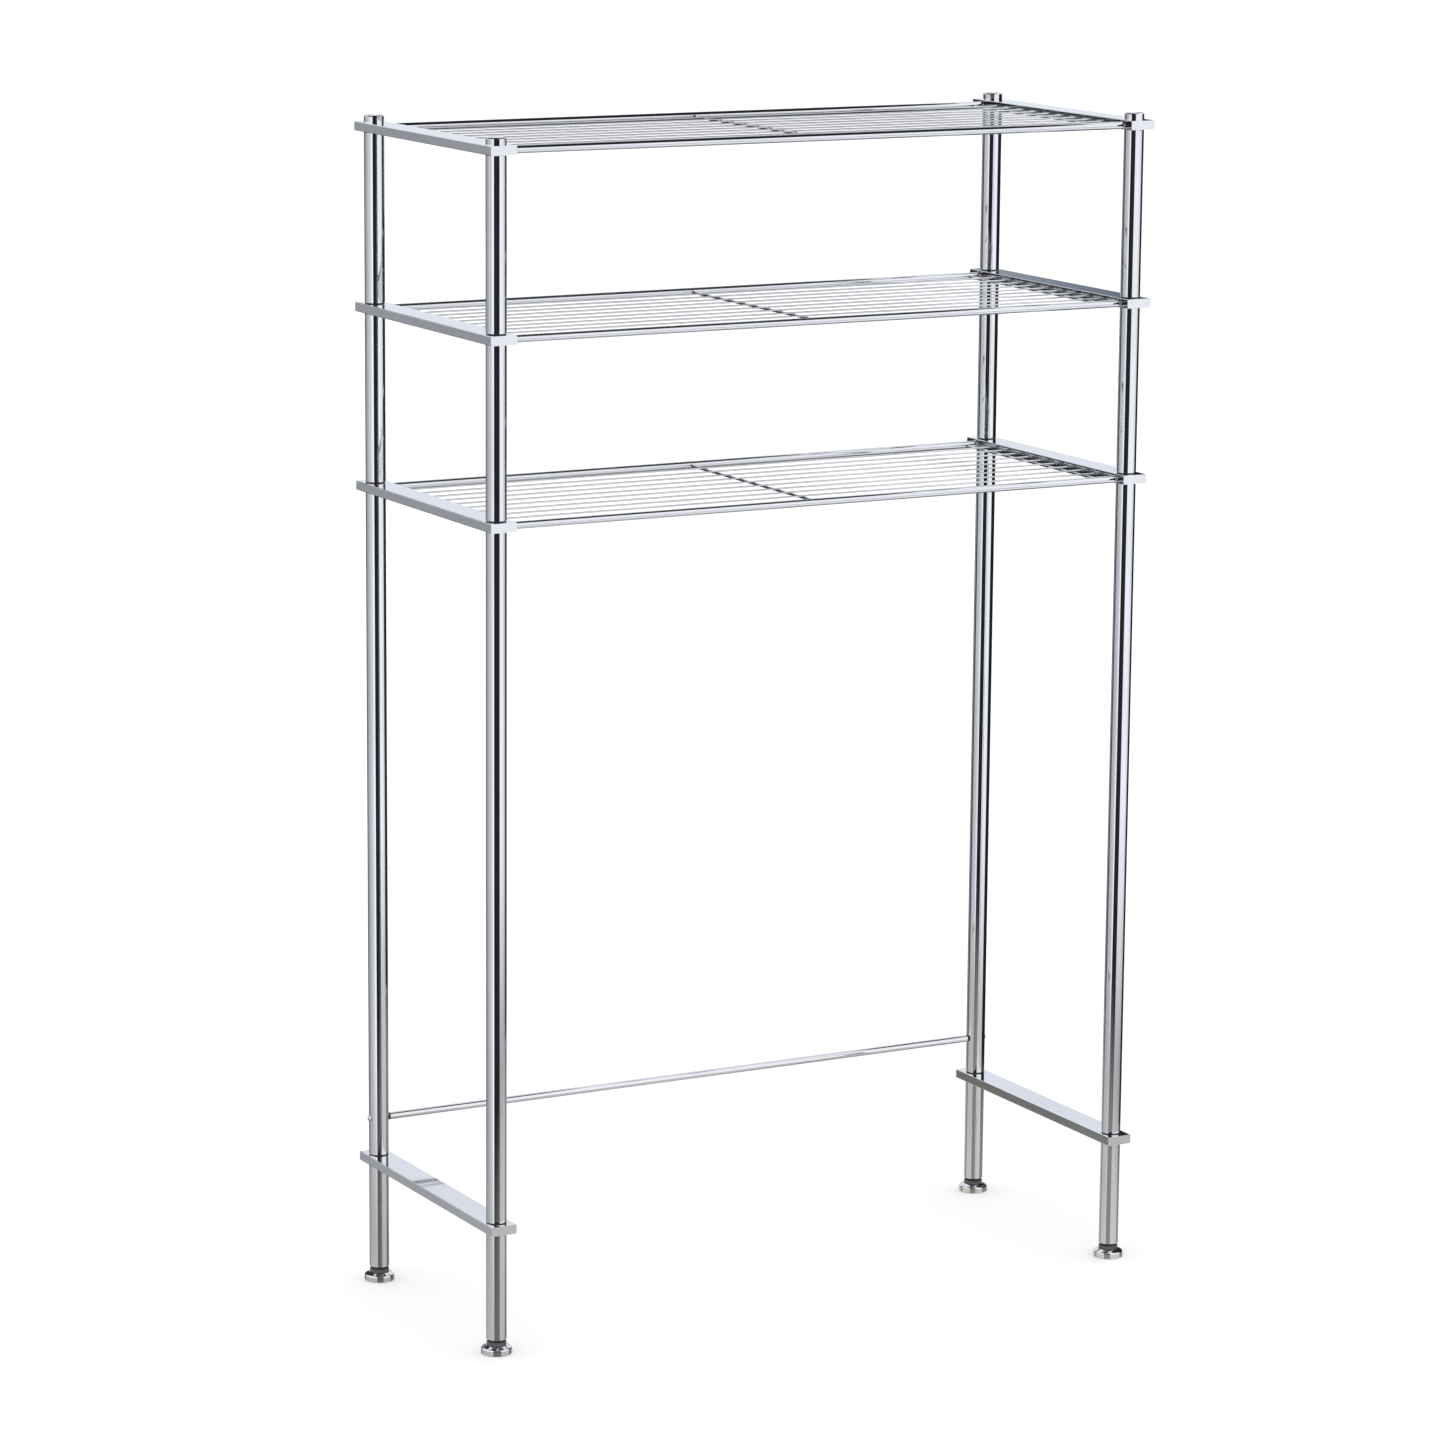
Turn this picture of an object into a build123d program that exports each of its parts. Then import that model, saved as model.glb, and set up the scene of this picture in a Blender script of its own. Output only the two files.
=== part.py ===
from build123d import *
import math
import os

# Over-the-toilet storage rack, millimetres, +Z up.
# The origin is on the floor in the middle of the footprint. -Y is the front, +X the right side.
# Four round posts, each a stack of tubes, carry four pairs of flat bars, one pair at each level.
# A threaded stud goes through each bar and draws the tube below and the tube above onto it.
# A thin flange on the plug in each tube end lies between the tube and the bar, as a dark line.

# ---- driving dimensions ----
post_spacing_x = 780.0      # between post centres, left to right
post_spacing_y = 298.0      # between post centres, back to front
post_d = 22.0
post_wall = 1.2

bar_width = 30.0
bar_height = 10.0
bar_length = 335.0
bar_wall = 1.2
bar_corner_r = 0.8
bar_inner_r = 0.3           # the least corner radius inside a bar and on a plug's block

foot_height = 16.0          # floor to the lower end of a post
stub_span = 120.0           # foot to base bar
leg_span = 750.0            # base bar to low shelf bar, tall enough for the tank and its lid
shelf_span = 186.0          # bar to bar between shelves
cap_height = 8.0

rail_d = 8.0
rail_drop = 1.0             # rail centre under the bar centre, so both are flush below
long_wire_d = 1.8
long_wire_count = 9
long_wire_pitch = 28.0
long_wire_rise = 0.3        # long wire centre over the bar centre
cross_wire_d = 3.0
cross_wire_inset = 12.0     # clear space between an end cross wire and its bar

stretcher_d = 8.0
stretcher_wall = 0.8
stretcher_z = 188.0

stud_d = 8.0
fit_gap = 0.05              # radial play of every stud, insert and plug
edge_break = 0.4

# ---- places worked out from them ----
post_x = post_spacing_x / 2
post_y = post_spacing_y / 2
post_bore_d = post_d - 2 * post_wall
base_bar_z = foot_height + stub_span
low_bar_z = base_bar_z + bar_height + leg_span
mid_bar_z = low_bar_z + bar_height + shelf_span
top_bar_z = mid_bar_z + bar_height + shelf_span
cap_z = top_bar_z + bar_height
bar_inner_x = post_x - bar_width / 2

sides = {"left": -1, "right": 1}
ends = {"front": -1, "back": 1}
bar_levels = {"base": base_bar_z, "low": low_bar_z, "mid": mid_bar_z, "top": top_bar_z}
shelf_levels = {name: bar_levels[name] for name in ("low", "mid", "top")}
corners = {
    end + "_" + side: (sx * post_x, sy * post_y)
    for end, sy in ends.items()
    for side, sx in sides.items()
}

# ---- joints between tubes and bars ----
stud_hole_d = 8.4           # hole through a bar
stud_engage = 12.0          # length of stud inside each tube
insert_length = 14.0
insert_flange_d = 21.0
insert_flange = 0.8
insert_bore_d = stud_d + 2 * fit_gap
insert_d = post_bore_d - 2 * fit_gap
cap_bore_depth = 6.0
cap_stud_engage = 5.5
cap_edge_r = 1.6
cap_crown = 0.5

# ---- bar end plugs ----
plug_flange = 2.0
plug_depth = 10.0
plug_gap = 0.1

# ---- levelling feet ----
pad_d = 33.2
pad_height = 9.2
pad_top_d = 22.8
pad_rim_height = 5.2
pad_shoulder_drop = 1.8
pad_shoulder_in = 1.9
pad_bottom_r = 0.8
collar_d = 21.4
collar_height = 4.0
collar_rest_gap = 0.1       # axial play under the collar
foot_stop_gap = 0.2         # collar to leg insert when the foot is screwed home
foot_stud_seat = 3.0        # solid metal under the stud in the pad
foot_stud_length = 47.0
leg_insert_depth = 26.0
leg_insert_flange_d = 19.0
leg_insert_flange = foot_height - pad_height - collar_rest_gap - collar_height - foot_stop_gap

# ---- stretcher fixings ----
screw_d = 4.0
screw_length = 38.0
screw_head_d = 7.6
screw_head_height = 2.3
screw_hole_d = 4.5
end_plug_flange = 2.0
end_plug_depth = 22.0


def at(x, y, z):
    return Location((x, y, z))


def rod(diameter, length):
    """A round rod that stands on z = 0."""
    return Cylinder(diameter / 2, length, align=(Align.CENTER, Align.CENTER, Align.MIN))


def rod_along_x(diameter, length):
    """A round rod that lies along X, centred on the origin."""
    return Rot(0, 90, 0) * Cylinder(diameter / 2, length)


def rod_along_y(diameter, length):
    """A round rod that lies along Y, centred on the origin."""
    return Rot(90, 0, 0) * Cylinder(diameter / 2, length)


def tube(outer_d, bore_d, length):
    """A round tube that stands on z = 0, with its outer edges broken."""
    outside = rod(outer_d, length)
    rims = outside.edges().filter_by(GeomType.CIRCLE)
    outside = chamfer(rims, edge_break)
    return outside - rod(bore_d, length)


def bar_section(length, inset):
    """A long block with the bar's rounded section, made smaller by inset on every side."""
    block = Box(bar_width - 2 * inset, length, bar_height - 2 * inset)
    long_edges = block.edges().filter_by(Axis.Y)
    return fillet(long_edges, max(bar_corner_r - inset, bar_inner_r))


def save(node, pieces):
    """Write one node, made of one solid or of a list of separate solids."""
    shape = Compound(children=list(pieces)) if isinstance(pieces, list) else pieces
    shape.label = node
    export_step(shape, "parts/" + node + ".step")


# ---- posts ----
def post_tube(length):
    return tube(post_d, post_bore_d, length)


def leg_tube(is_back):
    """The long tube. A back one has holes through both walls for the stretcher's screw."""
    leg = post_tube(leg_span - 2 * insert_flange)
    if is_back:
        hole = rod_along_x(screw_hole_d, 2 * post_d)
        leg = leg - at(0, 0, stretcher_z - base_bar_z - bar_height - insert_flange) * hole
    return leg


def make_posts():
    over_flange = bar_height + insert_flange
    stub = post_tube(stub_span - insert_flange)
    shelf_tube = post_tube(shelf_span - 2 * insert_flange)
    for corner, (x, y) in corners.items():
        leg = leg_tube(is_back=y > 0)
        save("leg_stub_" + corner, at(x, y, foot_height) * stub)
        save("leg_tube_" + corner, at(x, y, base_bar_z + over_flange) * leg)
        save("lower_post_" + corner, at(x, y, low_bar_z + over_flange) * shelf_tube)
        save("upper_post_" + corner, at(x, y, mid_bar_z + over_flange) * shelf_tube)


def top_cap():
    """A short cap as wide as the post, with a rounded edge, a low crown and a blind hole below."""
    radius = post_d / 2
    rim_z = cap_height - cap_crown
    crown_r = radius - cap_edge_r
    with BuildPart() as cap:
        with BuildSketch(Plane.XZ):
            with BuildLine():
                Line((0, 0), (radius, 0))
                Line((radius, 0), (radius, rim_z - cap_edge_r))
                TangentArc((crown_r, rim_z), (radius, rim_z - cap_edge_r), tangent=(1, 0))
                TangentArc((0, cap_height), (crown_r, rim_z), tangent=(1, 0))
                Line((0, cap_height), (0, 0))
            make_face()
        revolve(axis=Axis.Z)
    return cap.part - rod(insert_bore_d, cap_bore_depth)


def make_caps():
    for corner, (x, y) in corners.items():
        save("top_cap_" + corner, at(x, y, cap_z) * top_cap())


# ---- side bars ----
def side_bar():
    """A flat tube, open at both ends, with a stud hole over each post."""
    length = bar_length - 2 * plug_flange
    bar = bar_section(length, 0) - bar_section(length, bar_wall)
    for y in (-post_y, post_y):
        bar = bar - at(0, y, -bar_height) * rod(stud_hole_d, 2 * bar_height)
    return bar


def bar_plug(end_sign):
    """A moulded plug: a flange as large as the bar and a block that fits inside it."""
    flange = bar_section(plug_flange, 0)
    block = bar_section(plug_depth, bar_wall + plug_gap)
    flange_y = end_sign * (bar_length - plug_flange) / 2
    block_y = end_sign * (bar_length / 2 - plug_flange - plug_depth / 2)
    return at(0, flange_y, 0) * flange + at(0, block_y, 0) * block


def make_bars():
    for side, sign in sides.items():
        plugs = []
        for level, z in bar_levels.items():
            place = at(sign * post_x, 0, z + bar_height / 2)
            save(level + "_bar_" + side, place * side_bar())
            for end_sign in ends.values():
                plugs.append(place * bar_plug(end_sign))
        save("bar_end_plugs_" + side, plugs)


# ---- wire shelves ----
def make_shelf(level, bar_z):
    """Two round rails and a grid of thin wires, all welded between the two bars of a level."""
    centre_z = bar_z + bar_height / 2
    span = 2 * bar_inner_x
    for end, sign in ends.items():
        rail = at(0, sign * post_y, centre_z - rail_drop) * rod_along_x(rail_d, span)
        save(level + "_shelf_rail_" + end, rail)

    long_z = centre_z + long_wire_rise
    first_y = -long_wire_pitch * (long_wire_count - 1) / 2
    long_wires = []
    for index in range(long_wire_count):
        wire_y = first_y + index * long_wire_pitch
        long_wires.append(at(0, wire_y, long_z) * rod_along_x(long_wire_d, span))
    save(level + "_shelf_long_wires", long_wires)

    cross_z = long_z - (long_wire_d + cross_wire_d) / 2
    cross_length = post_spacing_y - rail_d
    end_x = bar_inner_x - cross_wire_inset - cross_wire_d / 2
    cross_wires = []
    for wire_x in (-end_x, 0, end_x):
        cross_wires.append(at(wire_x, 0, cross_z) * rod_along_y(cross_wire_d, cross_length))
    save(level + "_shelf_cross_wires", cross_wires)


# ---- threaded joints inside the posts ----
def make_joint_studs():
    """One stud through each bar over each post. The top ones are shorter and end in the caps."""
    studs = []
    for level, bar_z in bar_levels.items():
        upper = cap_stud_engage if level == "top" else stud_engage
        length = stud_engage + bar_height + upper
        for x, y in corners.values():
            studs.append(at(x, y, bar_z - stud_engage) * rod(stud_d, length))
    save("joint_studs", studs)


def tube_insert():
    """A threaded plug that stands on its flange, for the lower end of a tube."""
    plug = rod(insert_flange_d, insert_flange) + rod(insert_d, insert_length)
    return plug - rod(insert_bore_d, insert_length)


def make_tube_inserts():
    """The threaded plug in each tube end that meets a bar, upside down under the bar."""
    insert = tube_insert()
    inserts = []
    for level, bar_z in bar_levels.items():
        for x, y in corners.values():
            inserts.append(at(x, y, bar_z) * Rot(180, 0, 0) * insert)
            if level != "top":
                inserts.append(at(x, y, bar_z + bar_height) * insert)
    save("tube_inserts", inserts)


# ---- levelling feet ----
def foot_pad():
    """A round pad with an upright rim, a rounded shoulder and a blind hole for its stud."""
    radius = pad_d / 2
    top_r = pad_top_d / 2
    shoulder_x = radius - pad_shoulder_in
    shoulder_z = pad_height - pad_shoulder_drop
    with BuildPart() as pad:
        with BuildSketch(Plane.XZ):
            with BuildLine():
                Line((0, 0), (radius - pad_bottom_r, 0))
                TangentArc((radius - pad_bottom_r, 0), (radius, pad_bottom_r), tangent=(1, 0))
                Line((radius, pad_bottom_r), (radius, pad_rim_height))
                TangentArc((radius, pad_rim_height), (shoulder_x, shoulder_z), tangent=(0, 1))
                Line((shoulder_x, shoulder_z), (top_r, pad_height))
                Line((top_r, pad_height), (0, pad_height))
                Line((0, pad_height), (0, 0))
            make_face()
        revolve(axis=Axis.Z)
    return pad.part - at(0, 0, foot_stud_seat) * rod(insert_bore_d, pad_height)


def foot_collar():
    """The plastic ring between the pad and the leg."""
    ring = rod(collar_d, collar_height)
    rims = ring.edges().filter_by(GeomType.CIRCLE)
    return chamfer(rims, edge_break) - rod(insert_bore_d, collar_height)


def leg_insert():
    """The threaded plug in the lower end of a post. Its flange shows as a dark ring."""
    body = rod(insert_d, leg_insert_depth)
    flange = at(0, 0, -leg_insert_flange) * rod(leg_insert_flange_d, leg_insert_flange)
    bore = at(0, 0, -leg_insert_flange) * rod(insert_bore_d, leg_insert_flange + leg_insert_depth)
    return body + flange - bore


def make_feet():
    inserts = []
    for corner, (x, y) in corners.items():
        save("foot_pad_" + corner, at(x, y, 0) * foot_pad())
        save("foot_stud_" + corner, at(x, y, foot_stud_seat) * rod(stud_d, foot_stud_length))
        save("foot_collar_" + corner, at(x, y, pad_height + collar_rest_gap) * foot_collar())
        inserts.append(at(x, y, foot_height) * leg_insert())
    save("leg_inserts", inserts)


# ---- back stretcher ----
def stretcher_plug(sign):
    """A plug in one end of the stretcher, with a flange against the leg and a screw hole."""
    tube_end = post_x - post_d / 2 - end_plug_flange
    flange = rod_along_x(stretcher_d, end_plug_flange)
    block = rod_along_x(stretcher_d - 2 * stretcher_wall - 2 * fit_gap, end_plug_depth)
    hole = rod_along_x(screw_d + 2 * fit_gap, 2 * (end_plug_depth + end_plug_flange))
    plug = at(tube_end + end_plug_flange / 2, 0, 0) * flange
    plug = plug + at(tube_end - end_plug_depth / 2, 0, 0) * block
    plug = plug - at(tube_end, 0, 0) * hole
    return plug if sign > 0 else Rot(0, 0, 180) * plug


def stretcher_screw(sign):
    """A domed-head screw through the leg and into the stretcher's plug."""
    seat_x = post_x + post_d / 2
    head_r = screw_head_d / 2
    dome_r = (head_r**2 + screw_head_height**2) / (2 * screw_head_height)
    turn = math.asin(head_r / dome_r) / 2
    bend = (dome_r * math.sin(turn), screw_head_height - dome_r * (1 - math.cos(turn)))
    with BuildPart() as screw:
        with BuildSketch(Plane.XZ):
            with BuildLine():
                Line((0, -screw_length), (screw_d / 2, -screw_length))
                Line((screw_d / 2, -screw_length), (screw_d / 2, 0))
                Line((screw_d / 2, 0), (head_r, 0))
                ThreePointArc((head_r, 0), bend, (0, screw_head_height))
                Line((0, screw_head_height), (0, -screw_length))
            make_face()
        revolve(axis=Axis.Z)
    lying = at(seat_x, 0, 0) * Rot(0, 90, 0) * screw.part
    return lying if sign > 0 else Rot(0, 0, 180) * lying


def make_stretcher():
    length = 2 * (post_x - post_d / 2 - end_plug_flange)
    outside = rod_along_x(stretcher_d, length)
    inside = rod_along_x(stretcher_d - 2 * stretcher_wall, length)
    place = at(0, post_y, stretcher_z)
    save("stretcher_tube", place * (outside - inside))
    save("stretcher_plugs", [place * stretcher_plug(sign) for sign in sides.values()])
    save("stretcher_screws", [place * stretcher_screw(sign) for sign in sides.values()])


os.makedirs("parts", exist_ok=True)
make_posts()
make_caps()
make_bars()
for shelf, shelf_bar_z in shelf_levels.items():
    make_shelf(shelf, shelf_bar_z)
make_joint_studs()
make_tube_inserts()
make_feet()
make_stretcher()
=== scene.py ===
import bpy
import bmesh
import math
from mathutils import Matrix, Vector


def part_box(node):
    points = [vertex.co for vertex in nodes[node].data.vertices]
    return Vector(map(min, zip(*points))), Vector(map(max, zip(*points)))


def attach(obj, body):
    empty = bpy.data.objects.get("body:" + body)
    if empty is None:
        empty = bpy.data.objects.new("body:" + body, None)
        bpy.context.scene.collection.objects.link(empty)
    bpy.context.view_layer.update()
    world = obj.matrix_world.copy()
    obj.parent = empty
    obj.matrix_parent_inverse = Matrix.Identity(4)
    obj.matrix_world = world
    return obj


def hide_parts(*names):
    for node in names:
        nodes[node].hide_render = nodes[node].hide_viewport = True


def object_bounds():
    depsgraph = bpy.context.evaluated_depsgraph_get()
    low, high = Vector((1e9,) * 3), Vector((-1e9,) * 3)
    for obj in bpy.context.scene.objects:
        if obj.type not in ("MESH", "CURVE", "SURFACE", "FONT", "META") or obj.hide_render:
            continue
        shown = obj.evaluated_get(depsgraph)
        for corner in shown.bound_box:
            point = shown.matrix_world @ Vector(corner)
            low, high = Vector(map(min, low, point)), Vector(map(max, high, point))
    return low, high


# Chrome rack that stands over a toilet: four posts, flat side bars, three wire shelves, screw-in feet.
# Metres, +Z up, -Y is the front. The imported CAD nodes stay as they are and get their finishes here.

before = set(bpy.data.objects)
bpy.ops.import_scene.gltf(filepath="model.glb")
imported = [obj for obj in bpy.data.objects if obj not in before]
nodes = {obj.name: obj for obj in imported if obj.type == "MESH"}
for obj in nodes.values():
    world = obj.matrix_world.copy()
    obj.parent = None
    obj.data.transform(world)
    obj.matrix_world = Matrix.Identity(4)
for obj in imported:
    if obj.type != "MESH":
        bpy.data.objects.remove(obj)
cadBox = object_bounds()
centre = (cadBox[0] + cadBox[1]) / 2
print("frame loaded:", len(nodes), "CAD nodes")


# ---- node helpers ----
def addNode(tree, kind, **settings):
    node = tree.nodes.new(kind)
    for name, value in settings.items():
        setattr(node, name, value)
    return node


def feed(tree, source, target):
    # a socket is linked, a plain value is set
    if isinstance(source, bpy.types.NodeSocket):
        tree.links.new(source, target)
    else:
        target.default_value = source


def maths(tree, operation, first, second=0.0, clamp=False):
    node = addNode(tree, "ShaderNodeMath", operation=operation, use_clamp=clamp)
    feed(tree, first, node.inputs[0])
    feed(tree, second, node.inputs[1])
    return node.outputs[0]


def addShare(tree, base, mask, amount, clamp=False):
    # the base value, and amount more where the mask is full
    node = addNode(tree, "ShaderNodeMath", operation="MULTIPLY_ADD", use_clamp=clamp)
    for socket, value in zip(node.inputs, (mask, amount, base)):
        feed(tree, value, socket)
    return node.outputs[0]


def vectorMaths(tree, operation, first, second):
    node = addNode(tree, "ShaderNodeVectorMath", operation=operation)
    feed(tree, first, node.inputs[0])
    feed(tree, second, node.inputs["Scale" if operation == "SCALE" else 1])
    return node.outputs["Value" if operation == "DOT_PRODUCT" else "Vector"]


def smoothStep(tree, value, low, high, fromValue=0.0, toValue=1.0):
    node = addNode(tree, "ShaderNodeMapRange", interpolation_type="SMOOTHSTEP")
    for socket, item in zip(node.inputs[:5], (value, low, high, fromValue, toValue)):
        feed(tree, item, socket)
    return node.outputs[0]


def mixColour(tree, share, first, second):
    node = addNode(tree, "ShaderNodeMix", data_type="RGBA")
    feed(tree, share, node.inputs[0])
    feed(tree, first, node.inputs[6])
    feed(tree, second, node.inputs[7])
    return node.outputs[2]


def noise(tree, place, size, seed, detail=1.0, distortion=0.0):
    # soft noise whose lumps are about size across
    node = addNode(tree, "ShaderNodeTexNoise", noise_dimensions="4D")
    feed(tree, place, node.inputs["Vector"])
    feed(tree, seed, node.inputs["W"])
    feed(tree, maths(tree, "DIVIDE", 1.0, size), node.inputs["Scale"])
    node.inputs["Detail"].default_value = detail
    node.inputs["Distortion"].default_value = distortion
    return node.outputs[0]


def newGroup(name, inputs, outputs):
    # inputs are (name, socket kind, default), outputs are (name, socket kind)
    tree = bpy.data.node_groups.new(name, "ShaderNodeTree")
    for label, kind, value in inputs:
        socket = tree.interface.new_socket(name=label, in_out="INPUT", socket_type="NodeSocket" + kind)
        socket.default_value = value
    for label, kind in outputs:
        tree.interface.new_socket(name=label, in_out="OUTPUT", socket_type="NodeSocket" + kind)
    return tree, addNode(tree, "NodeGroupInput").outputs, addNode(tree, "NodeGroupOutput").inputs


def objectPlace(tree):
    return addNode(tree, "ShaderNodeTexCoord").outputs["Object"]


# ---- shared surface effects ----
# a pair is the value at which an effect starts to show and the value from which it shows in full,
# and more cover pulls the start down
polish = dict(shows=(0.45, 0.75))
fingers = dict(start=0.75, coverPull=0.5, edge=0.16, ridgeShare=0.05, ridges=(0.3, 0.65))
scratch = dict(start=0.7, coverPull=0.5, edge=0.1, gapShare=1.6,
               # each set of scratches: how the noise is turned, and how it is drawn out
               sets=(((0.3, 0.5, 0.9), (1.0, 1.0, 0.15)), ((1.1, 0.2, 2.0), (0.2, 1.0, 1.0))))
settled = dict(facing=(0.6, 0.98), specks=(0.5, 0.8), driftSize=0.05)
rubbed = dict(flat=0.5, breaks=(0.35, 0.6))
drifting = dict(shows=(0.35, 0.65))


def makePlatingRelief():
    # plated steel is never quite true: long waves, and a fine orange peel over them
    tree, given, result = newGroup("platingRelief", [
        ("Grain", "Vector", (1.0, 1.0, 1.0)), ("Wave Size", "Float", 0.05),
        ("Wave Height", "Float", 0.0001), ("Peel Size", "Float", 0.002),
        ("Peel Height", "Float", 0.000001), ("Seed", "Float", 0.0)], [("Height", "Float")])
    place = vectorMaths(tree, "MULTIPLY", objectPlace(tree), given["Grain"])
    wave = noise(tree, place, given["Wave Size"], given["Seed"])
    peel = noise(tree, objectPlace(tree), given["Peel Size"], given["Seed"], detail=2.0)
    height = maths(tree, "ADD", maths(tree, "MULTIPLY", wave, given["Wave Height"]),
                   maths(tree, "MULTIPLY", peel, given["Peel Height"]))
    feed(tree, height, result["Height"])
    return tree


def makePolishLines():
    # fine lines left by the polishing belt, long in the grain's direction
    tree, given, result = newGroup("polishLines", [
        ("Grain", "Vector", (1.0, 1.0, 1.0)), ("Line Size", "Float", 0.0006),
        ("Seed", "Float", 0.0)], [("Mask", "Float")])
    place = vectorMaths(tree, "MULTIPLY", objectPlace(tree), given["Grain"])
    lines = noise(tree, place, given["Line Size"], given["Seed"], detail=3.0)
    feed(tree, smoothStep(tree, lines, *polish["shows"]), result["Mask"])
    return tree


def makeHandMarks():
    # the haze of old fingerprints, in patches
    tree, given, result = newGroup("handMarks", [
        ("Size", "Float", 0.03), ("Cover", "Float", 0.4), ("Seed", "Float", 0.0)], [("Mask", "Float")])
    place = objectPlace(tree)
    patch = noise(tree, place, given["Size"], given["Seed"], detail=4.0, distortion=0.6)
    pull = maths(tree, "MULTIPLY", given["Cover"], fingers["coverPull"])
    least = maths(tree, "SUBTRACT", fingers["start"], pull)
    patch = smoothStep(tree, patch, least, maths(tree, "ADD", least, fingers["edge"]))
    ridgeSize = maths(tree, "MULTIPLY", given["Size"], fingers["ridgeShare"])
    ridges = smoothStep(tree, noise(tree, place, ridgeSize, given["Seed"], detail=2.0), *fingers["ridges"])
    feed(tree, maths(tree, "MULTIPLY", patch, ridges), result["Mask"])
    return tree


def makeHairScratches():
    # thin wandering scratches: the places where a stretched noise crosses its middle
    tree, given, result = newGroup("hairScratches", [
        ("Size", "Float", 0.02), ("Width", "Float", 0.004), ("Cover", "Float", 0.3),
        ("Seed", "Float", 0.0)], [("Mask", "Float")])
    place = objectPlace(tree)
    total = None
    for turn, squeeze in scratch["sets"]:
        rotated = addNode(tree, "ShaderNodeMapping")
        feed(tree, place, rotated.inputs["Vector"])
        rotated.inputs["Rotation"].default_value = turn
        rotated.inputs["Scale"].default_value = squeeze
        lumps = noise(tree, rotated.outputs[0], given["Size"], given["Seed"])
        away = maths(tree, "ABSOLUTE", maths(tree, "SUBTRACT", lumps, 0.5))
        line = smoothStep(tree, away, 0.0, given["Width"], 1.0, 0.0)
        total = line if total is None else maths(tree, "MAXIMUM", total, line)
    broken = noise(tree, place, maths(tree, "MULTIPLY", given["Size"], scratch["gapShare"]), given["Seed"])
    pull = maths(tree, "MULTIPLY", given["Cover"], scratch["coverPull"])
    least = maths(tree, "SUBTRACT", scratch["start"], pull)
    broken = smoothStep(tree, broken, least, maths(tree, "ADD", least, scratch["edge"]))
    feed(tree, maths(tree, "MULTIPLY", total, broken), result["Mask"])
    return tree


def makeSettledDust():
    # dust lies only on what faces up
    tree, given, result = newGroup("settledDust", [
        ("Speck Size", "Float", 0.0012), ("Cover", "Float", 0.3),
        ("Seed", "Float", 0.0)], [("Mask", "Float")])
    split = addNode(tree, "ShaderNodeSeparateXYZ")
    feed(tree, addNode(tree, "ShaderNodeNewGeometry").outputs["Normal"], split.inputs[0])
    facingUp = smoothStep(tree, split.outputs["Z"], *settled["facing"])
    specks = noise(tree, objectPlace(tree), given["Speck Size"], given["Seed"], detail=3.0)
    specks = smoothStep(tree, specks, *settled["specks"])
    drifts = noise(tree, objectPlace(tree), settled["driftSize"], given["Seed"], detail=2.0)
    dust = maths(tree, "MULTIPLY", maths(tree, "MULTIPLY", specks, drifts), facingUp)
    feed(tree, maths(tree, "MULTIPLY", dust, given["Cover"], clamp=True), result["Mask"])
    return tree


def makeEdgeRub():
    # edges that are handled or screwed past lose their skin first
    tree, given, result = newGroup("edgeRub", [
        ("Reach", "Float", 0.05), ("Break Size", "Float", 0.002),
        ("Seed", "Float", 0.0)], [("Mask", "Float")])
    sharp = addNode(tree, "ShaderNodeNewGeometry").outputs["Pointiness"]
    broken = noise(tree, objectPlace(tree), given["Break Size"], given["Seed"], detail=3.0)
    sharp = smoothStep(tree, sharp, rubbed["flat"], maths(tree, "ADD", rubbed["flat"], given["Reach"]))
    broken = smoothStep(tree, broken, *rubbed["breaks"])
    feed(tree, maths(tree, "MULTIPLY", sharp, broken), result["Mask"])
    return tree


def makeMouldGrain():
    # the fine spark-eroded texture of a moulding tool
    tree, given, result = newGroup("mouldGrain", [
        ("Size", "Float", 0.0005), ("Height", "Float", 0.00001), ("Seed", "Float", 0.0)],
        [("Height", "Float"), ("Mask", "Float")])
    cells = addNode(tree, "ShaderNodeTexVoronoi", feature="SMOOTH_F1")
    feed(tree, objectPlace(tree), cells.inputs["Vector"])
    feed(tree, maths(tree, "DIVIDE", 1.0, given["Size"]), cells.inputs["Scale"])
    pits = noise(tree, objectPlace(tree), given["Size"], given["Seed"], detail=3.0)
    grain = maths(tree, "MULTIPLY", cells.outputs["Distance"], pits)
    feed(tree, maths(tree, "MULTIPLY", grain, given["Height"]), result["Height"])
    feed(tree, grain, result["Mask"])
    return tree


def makeToneDrift():
    # two close tones that pass slowly into each other
    tree, given, result = newGroup("toneDrift", [
        ("Tone", "Color", (0.8, 0.8, 0.8, 1.0)), ("Other Tone", "Color", (0.7, 0.7, 0.7, 1.0)),
        ("Size", "Float", 0.1), ("Seed", "Float", 0.0)], [("Color", "Color")])
    share = noise(tree, objectPlace(tree), given["Size"], given["Seed"], detail=2.0)
    share = smoothStep(tree, share, *drifting["shows"])
    feed(tree, mixColour(tree, share, given["Tone"], given["Other Tone"]), result["Color"])
    return tree


effects = {"platingRelief": makePlatingRelief(), "polishLines": makePolishLines(),
           "handMarks": makeHandMarks(), "hairScratches": makeHairScratches(),
           "settledDust": makeSettledDust(), "edgeRub": makeEdgeRub(),
           "mouldGrain": makeMouldGrain(), "toneDrift": makeToneDrift()}
print("surface effects:", len(effects))


def useEffect(tree, name, **values):
    # a value named waveSize goes to the socket Wave Size
    node = addNode(tree, "ShaderNodeGroup", node_tree=effects[name])
    for label, value in values.items():
        spaced = "".join(" " + c if c.isupper() else c for c in label).strip().title()
        feed(tree, value, node.inputs[spaced])
    return node.outputs


def newMaterial(name):
    material = bpy.data.materials.new(name)
    material.use_nodes = True
    tree = material.node_tree
    return material, tree, tree.nodes["Principled BSDF"]


def tone(r, g, b):
    return (r, g, b, 1.0)


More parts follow.
